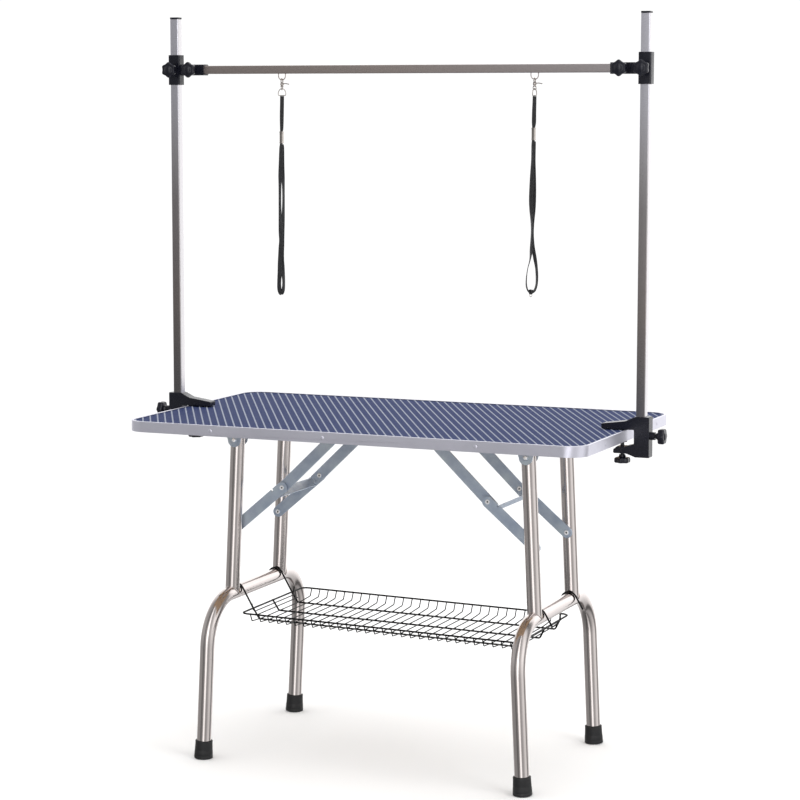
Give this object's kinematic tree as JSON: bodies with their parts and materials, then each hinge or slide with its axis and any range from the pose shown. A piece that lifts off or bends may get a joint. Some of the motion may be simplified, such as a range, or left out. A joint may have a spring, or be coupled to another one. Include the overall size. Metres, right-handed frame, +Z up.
{
  "type": "grooming table",
  "caption": "Folding pet grooming table with ribbed rubber top, clamp-on overhead bar with hanging nooses, folding tube legs with toggle braces and a wire basket.",
  "frame": {"origin": "middle of the table's footprint, on the floor", "axes": "+Z up, +X along the table's length, -Y towards the person who grooms"},
  "size_m": [1.2146, 0.6118, 1.631],
  "materials": {
    "plywood": "matt board, unseen but for its underside",
    "blue_rubber": "blue rubber with thin pale diagonal ribs",
    "trim_aluminium": "satin",
    "zinc_steel": "zinc plated",
    "leg_steel": "satin stainless",
    "mast_steel": "satin stainless",
    "bright_metal": "bright nickel plate",
    "black_plastic": "semi-gloss",
    "black_rubber": "matt",
    "coated_wire": "black coated",
    "black_webbing": "woven webbing"
  },
  "bodies": {
    "root": {"table_board": "plywood", "rubber_mat": "blue_rubber", "edge_trim": "trim_aluminium", "left_front_leg_bracket": "zinc_steel", "left_front_brace_anchor": "zinc_steel", "left_rear_leg_bracket": "zinc_steel", "left_rear_brace_anchor": "zinc_steel", "right_front_leg_bracket": "zinc_steel", "right_front_brace_anchor": "zinc_steel", "right_rear_leg_bracket": "zinc_steel", "right_rear_brace_anchor": "zinc_steel", "left_clamp_body": "black_plastic", "right_clamp_body": "black_plastic"},
    "left_leg": {"left_foot_frame": "leg_steel", "left_front_upright": "leg_steel", "left_front_rubber_foot": "black_rubber", "left_rear_upright": "leg_steel", "left_rear_rubber_foot": "black_rubber"},
    "left_upper_links": {"left_front_upper_link": "zinc_steel", "left_rear_upper_link": "zinc_steel", "left_cross_plate": "zinc_steel"},
    "left_lower_links": {"left_front_lower_link": "zinc_steel", "left_rear_lower_link": "zinc_steel"},
    "right_leg": {"right_foot_frame": "leg_steel", "right_front_upright": "leg_steel", "right_front_rubber_foot": "black_rubber", "right_rear_upright": "leg_steel", "right_rear_rubber_foot": "black_rubber"},
    "right_upper_links": {"right_front_upper_link": "zinc_steel", "right_rear_upper_link": "zinc_steel", "right_cross_plate": "zinc_steel"},
    "right_lower_links": {"right_front_lower_link": "zinc_steel", "right_rear_lower_link": "zinc_steel"},
    "basket": {"wire_basket": "coated_wire"},
    "left_mast": {"left_mast": "mast_steel", "left_mast_cap": "black_plastic"},
    "right_mast": {"right_mast": "mast_steel", "right_mast_cap": "black_plastic"},
    "overhead_bar": {"crossbar": "mast_steel", "left_bar_bracket": "black_plastic", "right_bar_bracket": "black_plastic"},
    "left_pad": {"left_clamp_pad": "black_rubber"},
    "left_screw": {"left_clamp_screw": "black_plastic"},
    "left_lock_knob": {"left_mast_lock_knob": "black_plastic"},
    "left_mast_knob": {"left_mast_knob": "black_plastic"},
    "left_bar_knob": {"left_bar_knob": "black_plastic"},
    "right_pad": {"right_clamp_pad": "black_rubber"},
    "right_screw": {"right_clamp_screw": "black_plastic"},
    "right_lock_knob": {"right_mast_lock_knob": "black_plastic"},
    "right_mast_knob": {"right_mast_knob": "black_plastic"},
    "right_bar_knob": {"right_bar_knob": "black_plastic"},
    "left_noose": {"left_snap_hook": "bright_metal", "left_d_ring": "bright_metal", "left_noose_strap": "black_webbing"},
    "left_slider": {"left_noose_slider": "bright_metal"},
    "right_noose": {"right_snap_hook": "bright_metal", "right_d_ring": "bright_metal", "right_noose_strap": "black_webbing", "right_end_ring": "bright_metal"},
    "right_slider": {"right_noose_slider": "bright_metal"}
  },
  "joints": [
    {"name": "left_leg_fold", "type": "hinge", "parent": "root", "child": "left_leg", "pos_m": [-0.343, 0, 0.7], "axis": [0, -1, 0], "range_deg": [0, 92.74]},
    {"name": "left_upper_link_turn", "type": "hinge", "parent": "root", "child": "left_upper_links", "pos_m": [-0.1285, 0, 0.705], "axis": [0, -1, 0], "range_deg": [-40.38, 0]},
    {"name": "left_lower_link_turn", "type": "hinge", "parent": "left_upper_links", "child": "left_lower_links", "pos_m": [-0.24388, 0, 0.59472], "axis": [0, -1, 0], "range_deg": [0, 182.47]},
    {"name": "right_leg_fold", "type": "hinge", "parent": "root", "child": "right_leg", "pos_m": [0.343, 0, 0.7], "axis": [0, 1, 0], "range_deg": [0, 86]},
    {"name": "right_upper_link_turn", "type": "hinge", "parent": "root", "child": "right_upper_links", "pos_m": [0.1285, 0, 0.705], "axis": [0, 1, 0], "range_deg": [-41.12, 0]},
    {"name": "right_lower_link_turn", "type": "hinge", "parent": "right_upper_links", "child": "right_lower_links", "pos_m": [0.24388, 0, 0.59472], "axis": [0, 1, 0], "range_deg": [0, 173.02]},
    {"name": "basket_lift", "type": "slide", "parent": "root", "child": "basket", "axis": [0, 0, 1], "range_m": [0, 0.06]},
    {"name": "left_mast_height", "type": "slide", "parent": "root", "child": "left_mast", "axis": [0, 0, 1], "range_m": [-0.12, 0.03]},
    {"name": "right_mast_height", "type": "slide", "parent": "root", "child": "right_mast", "axis": [0, 0, 1], "range_m": [-0.12, 0.03]},
    {"name": "bar_height", "type": "slide", "parent": "left_mast", "child": "overhead_bar", "axis": [0, 0, 1], "range_m": [-0.12, 0.07]},
    {"name": "left_pad_slide", "type": "slide", "parent": "root", "child": "left_pad", "axis": [0, 0, 1], "range_m": [-0.006, 0]},
    {"name": "left_screw_turn", "type": "hinge", "parent": "left_pad", "child": "left_screw", "pos_m": [-0.511, 0, 0.69], "axis": [0, 0, 1], "range_deg": [-1445, 0]},
    {"name": "left_lock_knob_turn", "type": "hinge", "parent": "root", "child": "left_lock_knob", "pos_m": [-0.59, 0, 0.742], "axis": [-1, 0, 0], "continuous": true},
    {"name": "left_mast_knob_turn", "type": "hinge", "parent": "overhead_bar", "child": "left_mast_knob", "pos_m": [-0.553, -0.03, 1.5138], "axis": [0, -1, 0], "continuous": true},
    {"name": "left_bar_knob_turn", "type": "hinge", "parent": "overhead_bar", "child": "left_bar_knob", "pos_m": [-0.5045, -0.03, 1.5138], "axis": [0, -1, 0], "continuous": true},
    {"name": "right_pad_slide", "type": "slide", "parent": "root", "child": "right_pad", "axis": [0, 0, 1], "range_m": [-0.006, 0]},
    {"name": "right_screw_turn", "type": "hinge", "parent": "right_pad", "child": "right_screw", "pos_m": [0.511, 0, 0.69], "axis": [0, 0, 1], "range_deg": [-1445, 0]},
    {"name": "right_lock_knob_turn", "type": "hinge", "parent": "root", "child": "right_lock_knob", "pos_m": [0.59, 0, 0.742], "axis": [1, 0, 0], "continuous": true},
    {"name": "right_mast_knob_turn", "type": "hinge", "parent": "overhead_bar", "child": "right_mast_knob", "pos_m": [0.553, -0.03, 1.5138], "axis": [0, -1, 0], "continuous": true},
    {"name": "right_bar_knob_turn", "type": "hinge", "parent": "overhead_bar", "child": "right_bar_knob", "pos_m": [0.5045, -0.03, 1.5138], "axis": [0, -1, 0], "continuous": true},
    {"name": "left_noose_swing", "type": "hinge", "parent": "overhead_bar", "child": "left_noose", "pos_m": [-0.2885, 0, 1.49115], "axis": [1, 0, 0], "range_deg": [-50, 50]},
    {"name": "left_slider_slide", "type": "slide", "parent": "left_noose", "child": "left_slider", "axis": [0, 0, 1], "range_m": [-0.14, 0.06]},
    {"name": "right_noose_swing", "type": "hinge", "parent": "overhead_bar", "child": "right_noose", "pos_m": [0.3065, 0, 1.49115], "axis": [1, 0, 0], "range_deg": [-50, 50]},
    {"name": "right_slider_slide", "type": "slide", "parent": "right_noose", "child": "right_slider", "axis": [0, 0, 1], "range_m": [-0.14, 0.06]}
  ],
  "couplings": [
    {"joint": "left_upper_link_turn", "follows": "left_leg_fold", "ratio": -0.43003},
    {"joint": "left_lower_link_turn", "follows": "left_leg_fold", "ratio": 1.9621},
    {"joint": "right_upper_link_turn", "follows": "right_leg_fold", "ratio": -0.47234},
    {"joint": "right_lower_link_turn", "follows": "right_leg_fold", "ratio": 2.006},
    {"joint": "right_mast_height", "follows": "left_mast_height", "ratio": 1},
    {"joint": "left_screw_turn", "follows": "left_pad_slide", "rad_per_m": 4188.8},
    {"joint": "right_screw_turn", "follows": "right_pad_slide", "rad_per_m": 4188.8}
  ]
}
